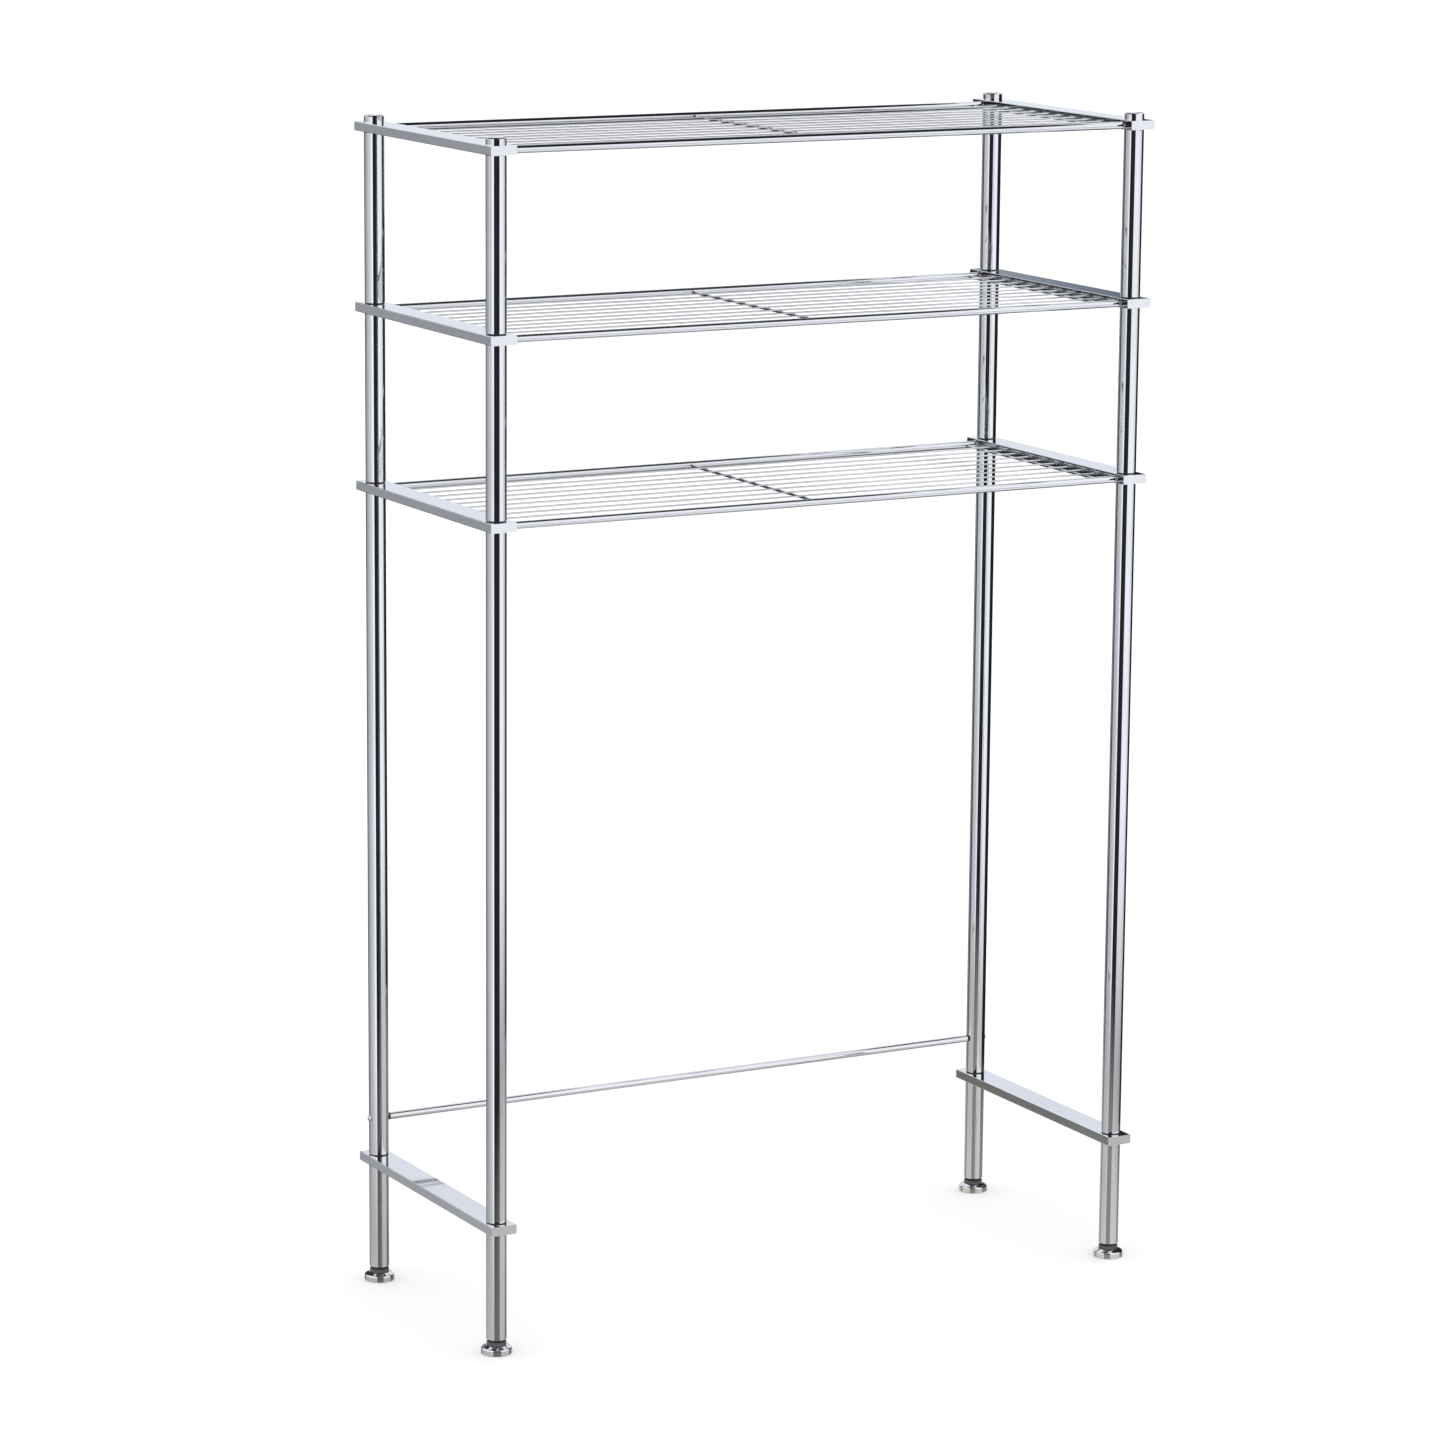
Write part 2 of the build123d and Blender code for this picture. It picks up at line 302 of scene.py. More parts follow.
# ---- metal finishes ----
alongX, alongY, alongZ = (0.06, 1.0, 1.0), (1.0, 0.06, 1.0), (1.0, 1.0, 0.06)
everyWay = (1.0, 1.0, 1.0)
dustTone = tone(0.55, 0.53, 0.50)

# how each effect lies on metal, and how much rougher it makes it where it is full
metalWear = dict(
    peelSize=0.0025, peelHeight=0.0000012, lineSize=0.0005, lineRough=0.02,
    markSize=0.035, markCover=0.45, markRough=0.06,
    scratchSize=0.02, scratchWidth=0.004, scratchCover=0.35, scratchRough=0.12, scratchDepth=0.0000015,
    speckSize=0.0011, dustCover=0.22, dustRough=0.5, driftSize=0.12,
)

# grain is the way the piece was drawn and polished, wave is how untrue its surface is
metalLooks = {
    "chromeTube": dict(tone=tone(0.82, 0.83, 0.85), otherTone=tone(0.78, 0.79, 0.80), grain=alongZ,
                       roughness=0.035, waveSize=0.018, waveHeight=0.00006, seed=1.0),
    "chromeBar": dict(tone=tone(0.82, 0.83, 0.85), otherTone=tone(0.78, 0.79, 0.81), grain=alongY,
                      roughness=0.045, waveSize=0.030, waveHeight=0.00005, seed=2.0),
    "chromeRod": dict(tone=tone(0.81, 0.82, 0.84), otherTone=tone(0.77, 0.78, 0.80), grain=alongX,
                      roughness=0.05, waveSize=0.012, waveHeight=0.00003, seed=3.0),
    "chromeWire": dict(tone=tone(0.80, 0.81, 0.83), otherTone=tone(0.74, 0.75, 0.77), grain=alongX,
                       roughness=0.07, waveSize=0.010, waveHeight=0.00002, seed=4.0),
    "chromeFitting": dict(tone=tone(0.84, 0.84, 0.84), otherTone=tone(0.80, 0.80, 0.79), grain=everyWay,
                          roughness=0.04, waveSize=0.008, waveHeight=0.00001, seed=5.0),
    "silverPlug": dict(tone=tone(0.80, 0.80, 0.81), otherTone=tone(0.76, 0.76, 0.77), grain=everyWay,
                       roughness=0.12, waveSize=0.006, waveHeight=0.00002, seed=6.0),
    "zincSteel": dict(tone=tone(0.60, 0.61, 0.62), otherTone=tone(0.50, 0.50, 0.48), grain=everyWay,
                      roughness=0.30, waveSize=0.004, waveHeight=0.00001, seed=7.0),
    "screwSteel": dict(tone=tone(0.74, 0.75, 0.77), otherTone=tone(0.66, 0.67, 0.68), grain=everyWay,
                       roughness=0.14, waveSize=0.003, waveHeight=0.00001, seed=8.0),
    "weldMetal": dict(tone=tone(0.74, 0.75, 0.77), otherTone=tone(0.62, 0.61, 0.60), grain=everyWay,
                      roughness=0.16, waveSize=0.0015, waveHeight=0.00012, seed=9.0),
}


def addBump(tree, height, shader):
    bump = addNode(tree, "ShaderNodeBump")
    bump.inputs["Distance"].default_value = 1.0
    feed(tree, height, bump.inputs["Height"])
    feed(tree, bump.outputs[0], shader.inputs["Normal"])


def metalFinish(name, look):
    material, tree, shader = newMaterial(name)
    wear, seed = metalWear, look["seed"]
    waves = useEffect(tree, "platingRelief", grain=look["grain"], waveSize=look["waveSize"],
                      waveHeight=look["waveHeight"], peelSize=wear["peelSize"],
                      peelHeight=wear["peelHeight"], seed=seed)
    lines = useEffect(tree, "polishLines", grain=look["grain"], lineSize=wear["lineSize"], seed=seed)
    marks = useEffect(tree, "handMarks", size=wear["markSize"], cover=wear["markCover"], seed=seed)
    scratches = useEffect(tree, "hairScratches", size=wear["scratchSize"], width=wear["scratchWidth"],
                          cover=wear["scratchCover"], seed=seed)
    dust = useEffect(tree, "settledDust", speckSize=wear["speckSize"], cover=wear["dustCover"], seed=seed)
    drift = useEffect(tree, "toneDrift", tone=look["tone"], otherTone=look["otherTone"],
                      size=wear["driftSize"], seed=seed)

    feed(tree, mixColour(tree, dust["Mask"], drift["Color"], dustTone), shader.inputs["Base Color"])
    feed(tree, maths(tree, "SUBTRACT", 1.0, dust["Mask"], clamp=True), shader.inputs["Metallic"])

    roughness = addShare(tree, look["roughness"], marks["Mask"], wear["markRough"])
    roughness = addShare(tree, roughness, lines["Mask"], wear["lineRough"])
    roughness = addShare(tree, roughness, scratches["Mask"], wear["scratchRough"])
    roughness = addShare(tree, roughness, dust["Mask"], wear["dustRough"], clamp=True)
    feed(tree, roughness, shader.inputs["Roughness"])
    addBump(tree, addShare(tree, waves["Height"], scratches["Mask"], -wear["scratchDepth"]), shader)
    return material


# ---- plastic finishes ----
plasticLooks = {
    "greyPlastic": dict(tone=tone(0.060, 0.066, 0.075), otherTone=tone(0.075, 0.080, 0.088),
                        rubTone=tone(0.16, 0.17, 0.18), roughness=0.42, specular=0.45, seed=11.0),
    "blackPlastic": dict(tone=tone(0.012, 0.012, 0.013), otherTone=tone(0.020, 0.020, 0.021),
                         rubTone=tone(0.08, 0.08, 0.08), roughness=0.48, specular=0.4, seed=12.0),
}
plasticWear = dict(
    grainSize=0.0005, grainHeight=0.00004, grainRough=0.2, rubReach=0.06, rubBreak=0.0015, rubShare=0.3,
    speckSize=0.0009, dustCover=0.3, dustRough=0.3, driftSize=0.012,
)


def plasticFinish(name, look):
    material, tree, shader = newMaterial(name)
    wear, seed = plasticWear, look["seed"]
    grain = useEffect(tree, "mouldGrain", size=wear["grainSize"], height=wear["grainHeight"], seed=seed)
    rub = useEffect(tree, "edgeRub", reach=wear["rubReach"], breakSize=wear["rubBreak"], seed=seed)
    dust = useEffect(tree, "settledDust", speckSize=wear["speckSize"], cover=wear["dustCover"], seed=seed)
    drift = useEffect(tree, "toneDrift", tone=look["tone"], otherTone=look["otherTone"],
                      size=wear["driftSize"], seed=seed)

    worn = maths(tree, "MULTIPLY", rub["Mask"], wear["rubShare"])
    colour = mixColour(tree, worn, drift["Color"], look["rubTone"])
    feed(tree, mixColour(tree, dust["Mask"], colour, dustTone), shader.inputs["Base Color"])
    roughness = addShare(tree, look["roughness"], grain["Mask"], wear["grainRough"])
    roughness = addShare(tree, roughness, dust["Mask"], wear["dustRough"], clamp=True)
    feed(tree, roughness, shader.inputs["Roughness"])
    shader.inputs["Specular IOR Level"].default_value = look["specular"]
    addBump(tree, grain["Height"], shader)
    return material


finishes = {name: metalFinish(name, look) for name, look in metalLooks.items()}
finishes.update({name: plasticFinish(name, look) for name, look in plasticLooks.items()})

# the start of a CAD node's name says which finish it gets, and the first match counts
finishOfNode = {
    "leg_stub": "chromeTube", "leg_tube": "chromeTube", "lower_post": "chromeTube",
    "upper_post": "chromeTube", "top_cap": "chromeFitting", "foot_pad": "chromeFitting",
    "foot_stud": "zincSteel", "joint_studs": "zincSteel", "foot_collar": "greyPlastic",
    "tube_inserts": "blackPlastic", "leg_inserts": "blackPlastic", "stretcher_plugs": "blackPlastic",
    "stretcher_tube": "chromeRod", "stretcher_screws": "screwSteel", "bar_end_plugs": "silverPlug",
    "base_bar": "chromeBar", "low_bar": "chromeBar", "mid_bar": "chromeBar", "top_bar": "chromeBar",
}
finishOfShelfPart = {"rail": "chromeRod", "long_wires": "chromeWire", "cross_wires": "chromeWire"}


def dressNode(name, node):
    starts = [f for start, f in finishOfNode.items() if name.startswith(start)]
    parts = [f for part, f in finishOfShelfPart.items() if "_shelf_" in name and part in name]
    node.data.materials.clear()
    node.data.materials.append(finishes[(starts + parts)[0]])


for name, node in nodes.items():
    dressNode(name, node)
print("finishes:", len(finishes), "on", len(nodes), "CAD nodes")


# ---- mesh helpers ----
def newPiece(name, mesh, finish, body, replaced=()):
    piece = bpy.data.objects.new(name, mesh)
    bpy.context.scene.collection.objects.link(piece)
    mesh.materials.append(finishes[finish])
    for face in mesh.polygons:
        face.use_smooth = True
    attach(piece, body)
    if replaced:
        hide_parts(*replaced)
    return piece


def spin(mesh, outline, matrix, sides=32, wobble=None):
    # turns an outline of (distance along the axis, radius) round +Z of matrix, and closes both ends
    rings = []
    for along, radius in outline:
        ring = []
        for index in range(sides):
            angle = 2 * math.pi * index / sides
            r = radius * (1 + (wobble(angle, along) if wobble else 0.0))
            point = Vector((r * math.cos(angle), r * math.sin(angle), along))
            ring.append(mesh.verts.new(matrix @ point))
        rings.append(ring)
    for lower, upper in zip(rings, rings[1:]):
        for index in range(sides):
            following = (index + 1) % sides
            mesh.faces.new((lower[index], lower[following], upper[following], upper[index]))
    mesh.faces.new(rings[0][::-1])
    mesh.faces.new(rings[-1])


def finishMesh(name, mesh):
    bmesh.ops.recalc_face_normals(mesh, faces=mesh.faces)
    data = bpy.data.meshes.new(name)
    mesh.to_mesh(data)
    mesh.free()
    return data


# ---- threaded studs of the feet ----
# crest and flank are shares of the pitch
thread = dict(pitch=0.00125, depth=0.00068, crest=0.12, flank=0.32, sides=40, chamfer=0.0012, weld=0.000002)


def threadRadius(z, low, high, rise, radius):
    # the thread runs out towards both ends
    nearEnd = min(z - low, high - z) / thread["chamfer"]
    return radius - thread["depth"] * (1 - rise * min(1.0, nearEnd))


def threadedRod(name, low, high, radius, middle):
    mesh = bmesh.new()
    # one turn of the thread in its section: root, flank up, crest, flank down
    section = [(0.0, 0.0), (thread["flank"], 1.0), (thread["flank"] + thread["crest"], 1.0),
               (2 * thread["flank"] + thread["crest"], 0.0)]
    turns = int((high - low) / thread["pitch"]) + 2
    columns = []
    for index in range(thread["sides"] + 1):
        share = index / thread["sides"]
        angle = 2 * math.pi * share
        column = []
        for turn in range(-1, turns):
            for offset, rise in section:
                z = low + (turn + share + offset) * thread["pitch"]
                z = min(max(z, low), high)
                r = threadRadius(z, low, high, rise, radius)
                point = (middle.x + r * math.cos(angle), middle.y + r * math.sin(angle), z)
                column.append(mesh.verts.new(point))
        columns.append(column)
    for left, right in zip(columns, columns[1:]):
        for index in range(len(left) - 1):
            mesh.faces.new((left[index], right[index], right[index + 1], left[index + 1]))
    # the last column is the first one a turn later, so both are welded, and the ends are closed
    bmesh.ops.remove_doubles(mesh, verts=mesh.verts, dist=thread["weld"])
    bmesh.ops.holes_fill(mesh, edges=[e for e in mesh.edges if e.is_boundary], sides=0)
    return finishMesh(name, mesh)


for corner in ("front_left", "front_right", "back_left", "back_right"):
    node = "foot_stud_" + corner
    lowest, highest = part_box(node)
    middle = (lowest + highest) / 2
    radius = (highest.x - lowest.x) / 2
    data = threadedRod("foot_thread_" + corner, lowest.z, highest.z, radius, middle)
    newPiece("foot_thread_" + corner, data, "zincSteel", "pad_" + corner, [node])
print("foot threads: 4")


# ---- screws that hold the stretcher ----
screw = dict(
    headHeight=0.0023, headRadius=0.0038, shankRadius=0.0019, shankLength=0.0345, pointLength=0.0015,
    pointShare=0.5, rim=0.0003, rimIn=0.0002, sides=48, domeSteps=12, sharpAngle=35,
    # the recess, how much narrower it is at the bottom, and how far the cut starts outside the head
    recessReach=0.0021, recessWidth=0.00055, recessDepth=0.0013, recessTaper=0.55, recessClear=0.001,
    recessTurn=0.5,
)


def crossCutter(matrix):
    # two tapered blades that cross: what the driver's tip leaves in the head
    mesh = bmesh.new()
    levels = ((-screw["recessDepth"], screw["recessTaper"]), (screw["recessClear"], 1.0))
    for turned in (False, True):
        corners = []
        for z, share in levels:
            reach, width = screw["recessReach"] * share, screw["recessWidth"] * share
            for x, y in ((reach, width), (-reach, width), (-reach, -width), (reach, -width)):
                point = Vector((-y, x, z)) if turned else Vector((x, y, z))
                corners.append(mesh.verts.new(matrix @ point))
        for face in ((0, 1, 2, 3), (7, 6, 5, 4), (0, 4, 5, 1), (1, 5, 6, 2), (2, 6, 7, 3), (3, 7, 4, 0)):
            mesh.faces.new([corners[index] for index in face])
    return finishMesh("crossCutter", mesh)


def screwOutline():
    # point, shank, flat underside, rim and dome, as (distance along the screw, radius)
    shank, head, height = screw["shankRadius"], screw["headRadius"], screw["headHeight"]
    outline = [(-screw["shankLength"] - screw["pointLength"], shank * screw["pointShare"]),
               (-screw["shankLength"], shank), (0.0, shank),
               (0.0, head - screw["rimIn"]), (screw["rim"], head)]
    domeRadius = (head ** 2 + height ** 2) / (2 * height)
    for step in range(1, screw["domeSteps"] + 1):
        # the last ring stays a little off the middle
        r = head * math.cos(math.pi / 2 * step / (screw["domeSteps"] + 0.5))
        outline.append((height - domeRadius + math.sqrt(domeRadius ** 2 - r ** 2), r))
    return outline


def cutAway(piece, cutter, name):
    tool = bpy.data.objects.new(name, cutter)
    bpy.context.scene.collection.objects.link(tool)
    cut = piece.modifiers.new("recess", "BOOLEAN")
    cut.operation = "DIFFERENCE"
    cut.solver = "EXACT"
    cut.object = tool
    cut.use_self = True
    bpy.context.view_layer.update()
    evaluated = piece.evaluated_get(bpy.context.evaluated_depsgraph_get())
    cleared = bpy.data.meshes.new_from_object(evaluated)
    piece.modifiers.clear()
    piece.data = cleared
    bpy.data.objects.remove(tool)


def makeStretcherScrews():
    lowest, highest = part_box("stretcher_screws")
    middle = (lowest + highest) / 2
    outline = screwOutline()
    mesh = bmesh.new()
    cutters = []
    for outerX, side in ((highest.x, 1.0), (lowest.x, -1.0)):
        # +Z of the screw points out of the leg
        facing = Matrix.Rotation(side * math.pi / 2, 4, "Y")
        underHead = Vector((outerX - side * screw["headHeight"], middle.y, middle.z))
        spin(mesh, outline, Matrix.Translation(underHead) @ facing, screw["sides"])
        turned = Matrix.Rotation(screw["recessTurn"] * side, 4, "Z")
        top = Matrix.Translation(Vector((outerX, middle.y, middle.z)))
        cutters.append(crossCutter(top @ facing @ turned))
    piece = newPiece("stretcher_cross_screws", finishMesh("stretcher_cross_screws", mesh),
                     "screwSteel", "rack", ["stretcher_screws"])
    for index, cutter in enumerate(cutters):
        cutAway(piece, cutter, "crossCutter%d" % index)
    piece.data.shade_smooth()
    piece.data.set_sharp_from_angle(angle=math.radians(screw["sharpAngle"]))


makeStretcherScrews()
print("stretcher screws: 2")


# ---- weld beads of the shelves ----
bead = dict(
    length=0.0013, wireSwell=0.0007, railSwell=0.0008, sides=20, rings=6, inset=0.00002, weld=0.000001,
    # each wave of the uneven rim: how high, how many lumps, how far the seed turns it
    waves=((0.035, 2, 1.7), (0.021, 5, 3.1)),
)


def beadWobble(seed):
    # uneven round the wire, as a weld is, and the same each run
    return lambda angle, along: sum(
        height * math.sin(lumps * angle + seed * turn) for height, lumps, turn in bead["waves"])


def addBead(mesh, point, outward, radius, swell, seed):
    # a flare against the face the wire meets: widest there, and down to the wire over its length
    facing = Vector((0, 0, 1)).rotation_difference(outward).to_matrix().to_4x4()
    outline = []
    for ring in range(bead["rings"]):
        share = ring / (bead["rings"] - 1)
        r = radius + swell * (1 - share) ** 2 - bead["inset"]
        outline.append((bead["length"] * share, r))
    spin(mesh, outline, Matrix.Translation(point) @ facing, bead["sides"], beadWobble(seed))


def nodeParts(node):
    # the lowest and highest corner of each separate solid of a CAD node
    mesh = bmesh.new()
    mesh.from_mesh(nodes[node].data)
    bmesh.ops.remove_doubles(mesh, verts=mesh.verts, dist=bead["weld"])
    left, parts = set(mesh.verts), []
    while left:
        start = left.pop()
        found, waiting = [start], [start]
        while waiting:
            for edge in waiting.pop().link_edges:
                for vert in edge.verts:
                    if vert in left:
                        left.remove(vert)
                        found.append(vert)
                        waiting.append(vert)
        xs, ys, zs = zip(*(vert.co for vert in found))
        parts.append((Vector((min(xs), min(ys), min(zs))), Vector((max(xs), max(ys), max(zs)))))
    mesh.free()
    return sorted(parts, key=lambda part: (round(part[0].x, 4), round(part[0].y, 4)))


def makeWelds(shelf):
    mesh = bmesh.new()
    rails = [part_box(shelf + "_shelf_rail_" + end) for end in ("front", "back")]
    wires = nodeParts(shelf + "_shelf_long_wires") + rails
    for index, (lowest, highest) in enumerate(wires):
        middle = (lowest + highest) / 2
        radius = (highest.z - lowest.z) / 2
        swell = bead["railSwell"] if (lowest, highest) in rails else bead["wireSwell"]
        for x, outward in ((lowest.x, Vector((1, 0, 0))), (highest.x, Vector((-1, 0, 0)))):
            point = Vector((x, middle.y, middle.z))
            addBead(mesh, point, outward, radius, swell, index + x)
    for index, (lowest, highest) in enumerate(nodeParts(shelf + "_shelf_cross_wires")):
        middle = (lowest + highest) / 2
        radius = (highest.z - lowest.z) / 2
        for y, outward in ((lowest.y, Vector((0, 1, 0))), (highest.y, Vector((0, -1, 0)))):
            point = Vector((middle.x, y, middle.z))
            addBead(mesh, point, outward, radius, bead["wireSwell"], index + y)
    name = shelf + "_shelf_welds"
    newPiece(name, finishMesh(name, mesh), "weldMetal", "rack")


for shelf in ("low", "mid", "top"):
    makeWelds(shelf)
print("shelf welds: 3 sets")


# ---- camera ----
# aim is from the middle of the rack, the angles are in degrees
view = dict(aim=Vector((-0.031, 0.012, -0.022)), distance=5.867, turn=28.67, drop=11.302, roll=0.474,
            lens=131.5, sensor=36.0, farthest=100.0)
aimTurn = Matrix.Rotation(math.radians(-view["turn"]), 4, "Z")
aimDrop = Matrix.Rotation(math.radians(90 - view["drop"]), 4, "X")
aimRoll = Matrix.Rotation(math.radians(view["roll"]), 4, "Z")
cameraTurn = aimTurn @ aimDrop @ aimRoll
lens = bpy.data.cameras.new("camera")
lens.lens = view["lens"]
lens.sensor_width = view["sensor"]
lens.clip_end = view["farthest"]
camera = bpy.data.objects.new("camera", lens)
bpy.context.scene.collection.objects.link(camera)
backwards = cameraTurn @ Vector((0, 0, 1))
camera.matrix_world = Matrix.Translation(centre + view["aim"] + backwards * view["distance"]) @ cameraTurn
bpy.context.scene.camera = camera
print("camera:", [round(c, 3) for c in camera.matrix_world.translation])


# ---- studio ----
# Angles go round the rack from the camera's side: 0 is towards the camera, 90 to its right.
towardsCamera = Vector((-math.sin(math.radians(view["turn"])), -math.cos(math.radians(view["turn"])), 0))
toTheRight = Vector((-towardsCamera.y, towardsCamera.x, 0))

studio = dict(
    backdrop=1.02, roomLight=1.14,
    # how bright the walls are at each angle
    walls={-180: 0.07, -154: 0.07, -143: 0.30, -128: 0.36, -120: 0.35, -106: 0.41, -89: 0.54, -74: 0.63,
           -60: 0.71, -47: 0.80, -38: 0.90, -30: 0.97, 0: 0.97, 45: 1.08, 74: 1.04, 89: 0.90, 106: 0.70,
           115: 0.50, 121: 0.05, 180: 0.05},
    wallTint=(0.96, 0.985, 1.055),
    # a band low on the walls is darker: what is left of them in it on each side, and its two edges
    bandLeft=0.92, bandRight=0.35, bandTurn=(-0.2, 0.2), bandTop=(-0.285, -0.20), bandFoot=(-0.50, -0.36),
    ceilingBack=tone(0.82, 0.86, 0.93), ceilingFront=tone(1.05, 1.05, 1.08),
    ceilingStart=(0.0, 0.06), ceilingTurn=(-0.7, 0.3),
)

# the floor is near white to the eye, and polished metal sees a grey glow that fades between near and far
floorLook = dict(
    reach=60.0, paint=tone(0.98, 0.98, 0.98), near=0.42, far=1.35, sheen=tone(0.38, 0.38, 0.38),
    sheenRoughness=0.14, glowLeft=tone(0.100, 0.094, 0.080), glowRight=tone(0.32, 0.315, 0.30),
    glowTurn=(-0.9, 0.9),
)

# Cards stand round the rack and only show in polished metal. The front flag makes the dark band
# down the middle of each post, and the bright strip the light line to its left.
cards = {
    "frontFlag": dict(start=(-1.61, -1.13), end=(-0.02, -2.00), low=-1.6, high=2.6,
                      startTone=tone(0.020, 0.019, 0.022), endTone=tone(0.026, 0.023, 0.028)),
    "brightStrip": dict(start=(-2.05, -0.89), end=(-1.61, -1.13), low=-1.6, high=2.6,
                        startTone=tone(1.15, 1.15, 1.18), endTone=tone(1.25, 1.25, 1.27)),
    "sideFlag": dict(start=(0.95, -0.30), end=(0.95, 0.70), low=-1.0, high=1.45,
                     startTone=tone(0.02, 0.02, 0.02), endTone=tone(0.01, 0.01, 0.01)),
    "backFlag": dict(start=(-0.70, 1.00), end=(-0.10, 1.00), low=-1.0, high=1.60,
                     startTone=tone(0.03, 0.035, 0.04), endTone=tone(0.03, 0.03, 0.03)),
    "rightFlag": dict(start=(0.50, 0.85), end=(0.85, 0.50), low=1.08, high=1.27,
                      startTone=tone(0.52, 0.57, 0.64), endTone=tone(0.12, 0.14, 0.20)),
}
# a dark panel that hangs over the rack
overhead = dict(nearLeft=(-1.30, -0.60), farRight=(0.60, 0.62), height=1.72, shade=tone(0.018, 0.018, 0.018))


def mixShader(tree, share, first, second):
    mix = addNode(tree, "ShaderNodeMixShader")
    feed(tree, share, mix.inputs[0])
    tree.links.new(first.outputs[0], mix.inputs[1])
    tree.links.new(second.outputs[0], mix.inputs[2])
    return mix


def angleRound(tree, right, near):
    # the horizontal angle from the camera's side, with a whole turn as 0 to 1 and the front at 0.5
    angle = maths(tree, "ARCTAN2", right, near)
    return maths(tree, "ADD", maths(tree, "DIVIDE", angle, 2 * math.pi), 0.5)


def roomColour(tree, direction):
    # what polished metal sees of the room: walls that change with the angle, under a pale ceiling
    right = vectorMaths(tree, "DOT_PRODUCT", direction, toTheRight)
    near = vectorMaths(tree, "DOT_PRODUCT", direction, towardsCamera)
    split = addNode(tree, "ShaderNodeSeparateXYZ")
    feed(tree, direction, split.inputs[0])
    height = split.outputs["Z"]

    ramp = addNode(tree, "ShaderNodeValToRGB")
    feed(tree, angleRound(tree, right, near), ramp.inputs[0])
    stops = sorted(studio["walls"].items())
    elements = ramp.color_ramp.elements
    while len(elements) < len(stops):
        elements.new(0.5)
    for element, (angle, brightness) in zip(elements, stops):
        element.position = angle / 360 + 0.5
        element.color = tone(*[brightness * share for share in studio["wallTint"]])

    inBand = smoothStep(tree, right, *studio["bandTurn"], studio["bandLeft"], studio["bandRight"])
    above = smoothStep(tree, height, *studio["bandTop"])
    beneath = smoothStep(tree, height, *studio["bandFoot"], 1.0, 0.0)
    outside = maths(tree, "MAXIMUM", above, beneath)
    walls = vectorMaths(tree, "SCALE", ramp.outputs[0], smoothStep(tree, outside, 0.0, 1.0, inBand, 1.0))

    up = smoothStep(tree, height, *studio["ceilingStart"])
    frontness = smoothStep(tree, near, *studio["ceilingTurn"])
    ceiling = mixColour(tree, frontness, studio["ceilingBack"], studio["ceilingFront"])
    return mixColour(tree, up, walls, ceiling)


def makeWorld():
    world = bpy.data.worlds.new("studio")
    bpy.context.scene.world = world
    world.use_nodes = True
    tree = world.node_tree
    tree.nodes.clear()
    room = addNode(tree, "ShaderNodeBackground")
    direction = addNode(tree, "ShaderNodeTexCoord").outputs["Generated"]
    feed(tree, roomColour(tree, direction), room.inputs["Color"])
    # the eye and the soft light only see plain white
    plain = addNode(tree, "ShaderNodeBackground")
    plain.inputs["Color"].default_value = tone(1, 1, 1)
    path = addNode(tree, "ShaderNodeLightPath")
    strength = smoothStep(tree, path.outputs["Is Camera Ray"], 0.0, 1.0,
                          studio["roomLight"], studio["backdrop"])
    feed(tree, strength, plain.inputs["Strength"])
    seen = mixShader(tree, path.outputs["Is Glossy Ray"], plain, room)
    tree.links.new(seen.outputs[0], addNode(tree, "ShaderNodeOutputWorld").inputs[0])


def flatMesh(name, corners):
    mesh = bmesh.new()
    mesh.faces.new([mesh.verts.new(corner) for corner in corners])
    return finishMesh(name, mesh)


def bareMaterial(name):
    material = bpy.data.materials.new(name)
    material.use_nodes = True
    material.node_tree.nodes.clear()
    return material, material.node_tree


def floorGlow(tree):
    # grey near the rack, with a soft sheen, and nothing far away
    place = addNode(tree, "ShaderNodeNewGeometry").outputs["Position"]
    right = vectorMaths(tree, "DOT_PRODUCT", place, toTheRight)
    across = smoothStep(tree, right, *floorLook["glowTurn"])
    glow = addNode(tree, "ShaderNodeEmission")
    feed(tree, mixColour(tree, across, floorLook["glowLeft"], floorLook["glowRight"]), glow.inputs["Color"])
    sheen = addNode(tree, "ShaderNodeBsdfGlossy")
    sheen.inputs["Color"].default_value = floorLook["sheen"]
    sheen.inputs["Roughness"].default_value = floorLook["sheenRoughness"]
    both = addNode(tree, "ShaderNodeAddShader")
    tree.links.new(glow.outputs[0], both.inputs[0])
    tree.links.new(sheen.outputs[0], both.inputs[1])
    away = addNode(tree, "ShaderNodeVectorMath", operation="LENGTH")
    feed(tree, place, away.inputs[0])
    gone = smoothStep(tree, away.outputs["Value"], floorLook["near"], floorLook["far"])
    return mixShader(tree, gone, both, addNode(tree, "ShaderNodeBsdfTransparent"))


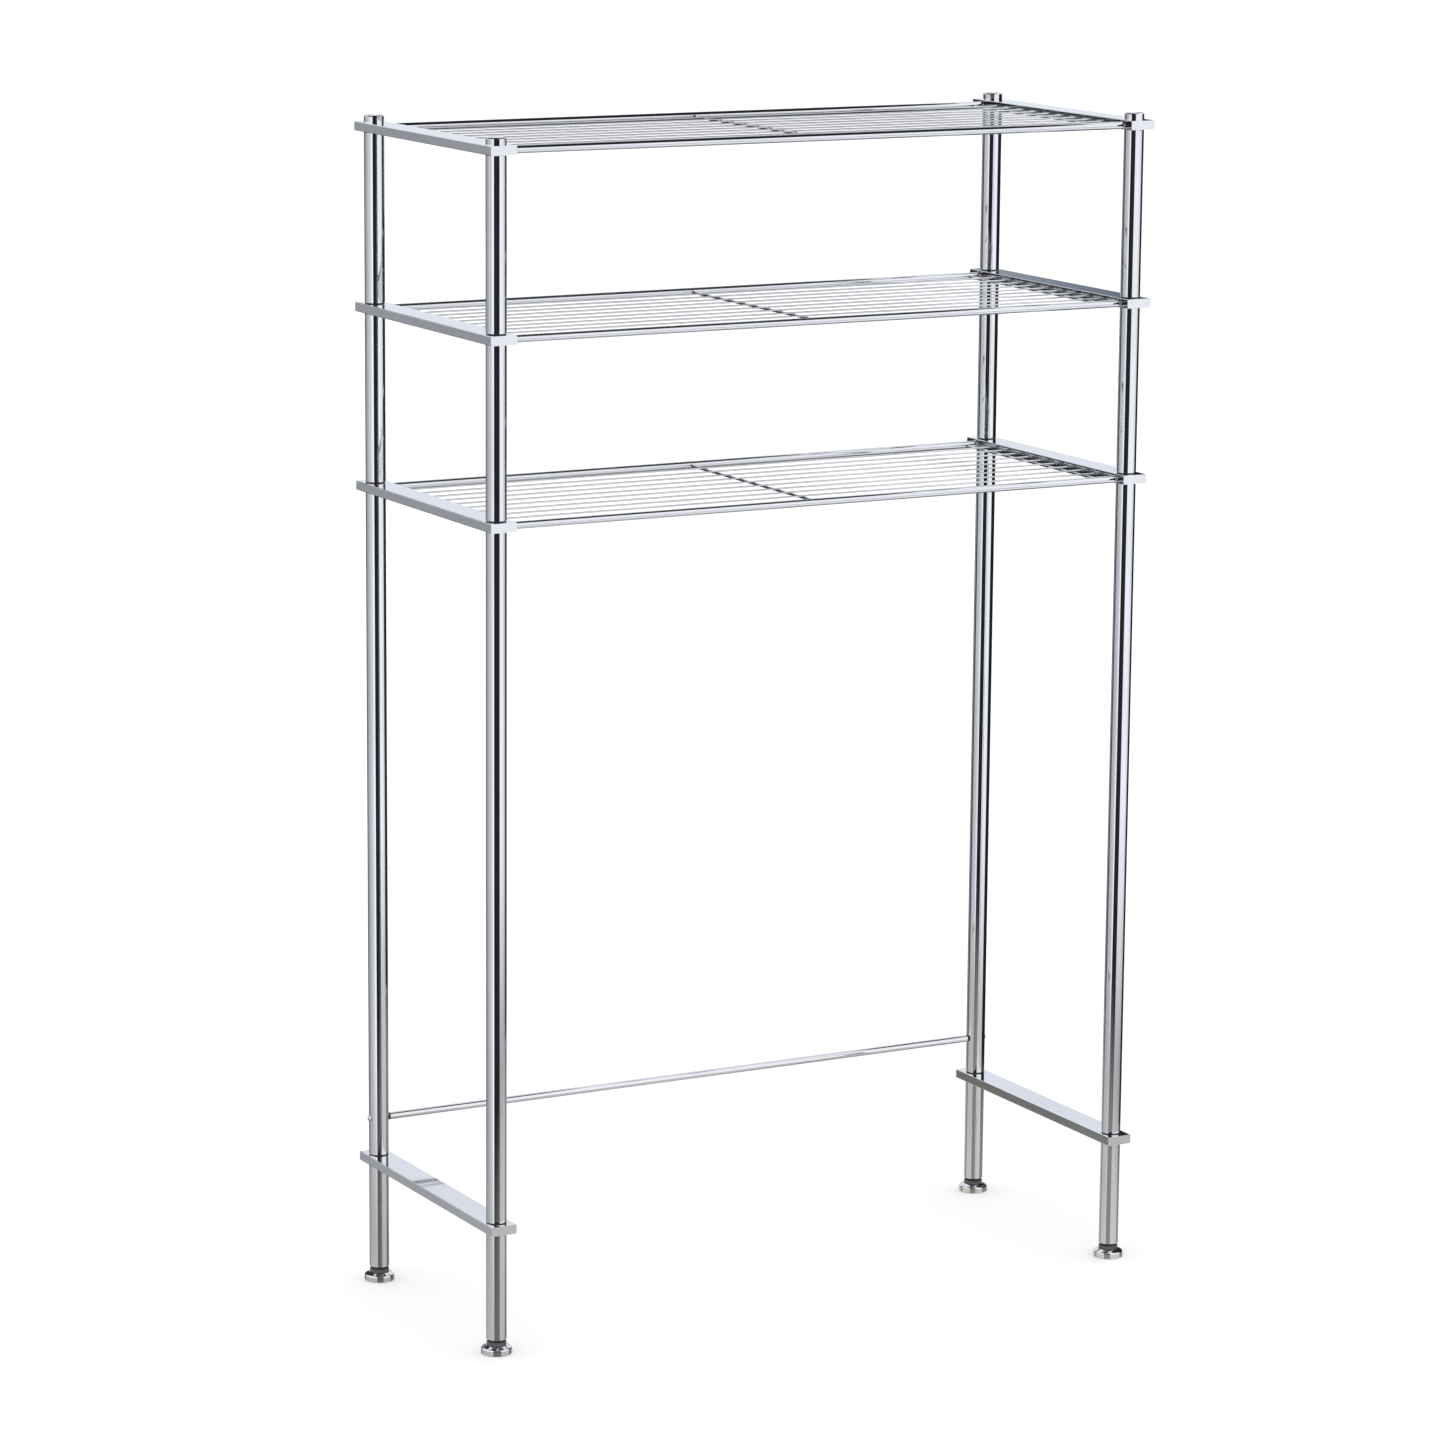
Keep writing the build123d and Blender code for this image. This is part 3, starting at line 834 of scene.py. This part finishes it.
def makeFloor():
    reach = floorLook["reach"]
    mesh = flatMesh("floor", [(-reach, -reach, 0), (reach, -reach, 0), (reach, reach, 0), (-reach, reach, 0)])
    material, tree = bareMaterial("paleFloor")
    paint = addNode(tree, "ShaderNodeBsdfDiffuse")
    paint.inputs["Color"].default_value = floorLook["paint"]
    path = addNode(tree, "ShaderNodeLightPath")
    above = mixShader(tree, path.outputs["Is Glossy Ray"], paint, floorGlow(tree))
    # clear from below, so that the undersides of the feet can be looked at
    facing = addNode(tree, "ShaderNodeNewGeometry").outputs["Backfacing"]
    seen = mixShader(tree, facing, above, addNode(tree, "ShaderNodeBsdfTransparent"))
    tree.links.new(seen.outputs[0], addNode(tree, "ShaderNodeOutputMaterial").inputs[0])
    mesh.materials.append(material)
    floor = bpy.data.objects.new("floor", mesh)
    bpy.context.scene.collection.objects.link(floor)


def makeCardGlow():
    # each card carries its own tones at its corners
    material, tree = bareMaterial("cardGlow")
    glow = addNode(tree, "ShaderNodeEmission")
    tones = addNode(tree, "ShaderNodeAttribute", attribute_name="glow")
    feed(tree, tones.outputs["Color"], glow.inputs["Color"])
    tree.links.new(glow.outputs[0], addNode(tree, "ShaderNodeOutputMaterial").inputs[0])
    return material


def makeCard(name, corners, tones, glow):
    mesh = flatMesh(name, corners)
    layer = mesh.color_attributes.new("glow", "FLOAT_COLOR", "POINT")
    for spot, shade in zip(layer.data, tones):
        spot.color = shade
    mesh.materials.append(glow)
    card = bpy.data.objects.new(name, mesh)
    bpy.context.scene.collection.objects.link(card)
    card.visible_camera = card.visible_diffuse = card.visible_shadow = card.visible_transmission = False


def standingCard(name, glow, start, end, low, high, startTone, endTone):
    makeCard(name, [(*start, low), (*end, low), (*end, high), (*start, high)],
             [startTone, endTone, endTone, startTone], glow)


def hangingCard(name, glow, nearLeft, farRight, height, shade):
    (x0, y0), (x1, y1) = nearLeft, farRight
    corners = [(x0, y0, height), (x1, y0, height), (x1, y1, height), (x0, y1, height)]
    makeCard(name, corners, [shade] * len(corners), glow)


makeWorld()
makeFloor()
cardGlow = makeCardGlow()
for name, card in cards.items():
    standingCard(name, cardGlow, **card)
hangingCard("overheadFlag", cardGlow, **overhead)
bpy.context.scene.view_settings.view_transform = "Standard"
print("studio: floor, world and", len(cards) + 1, "cards")
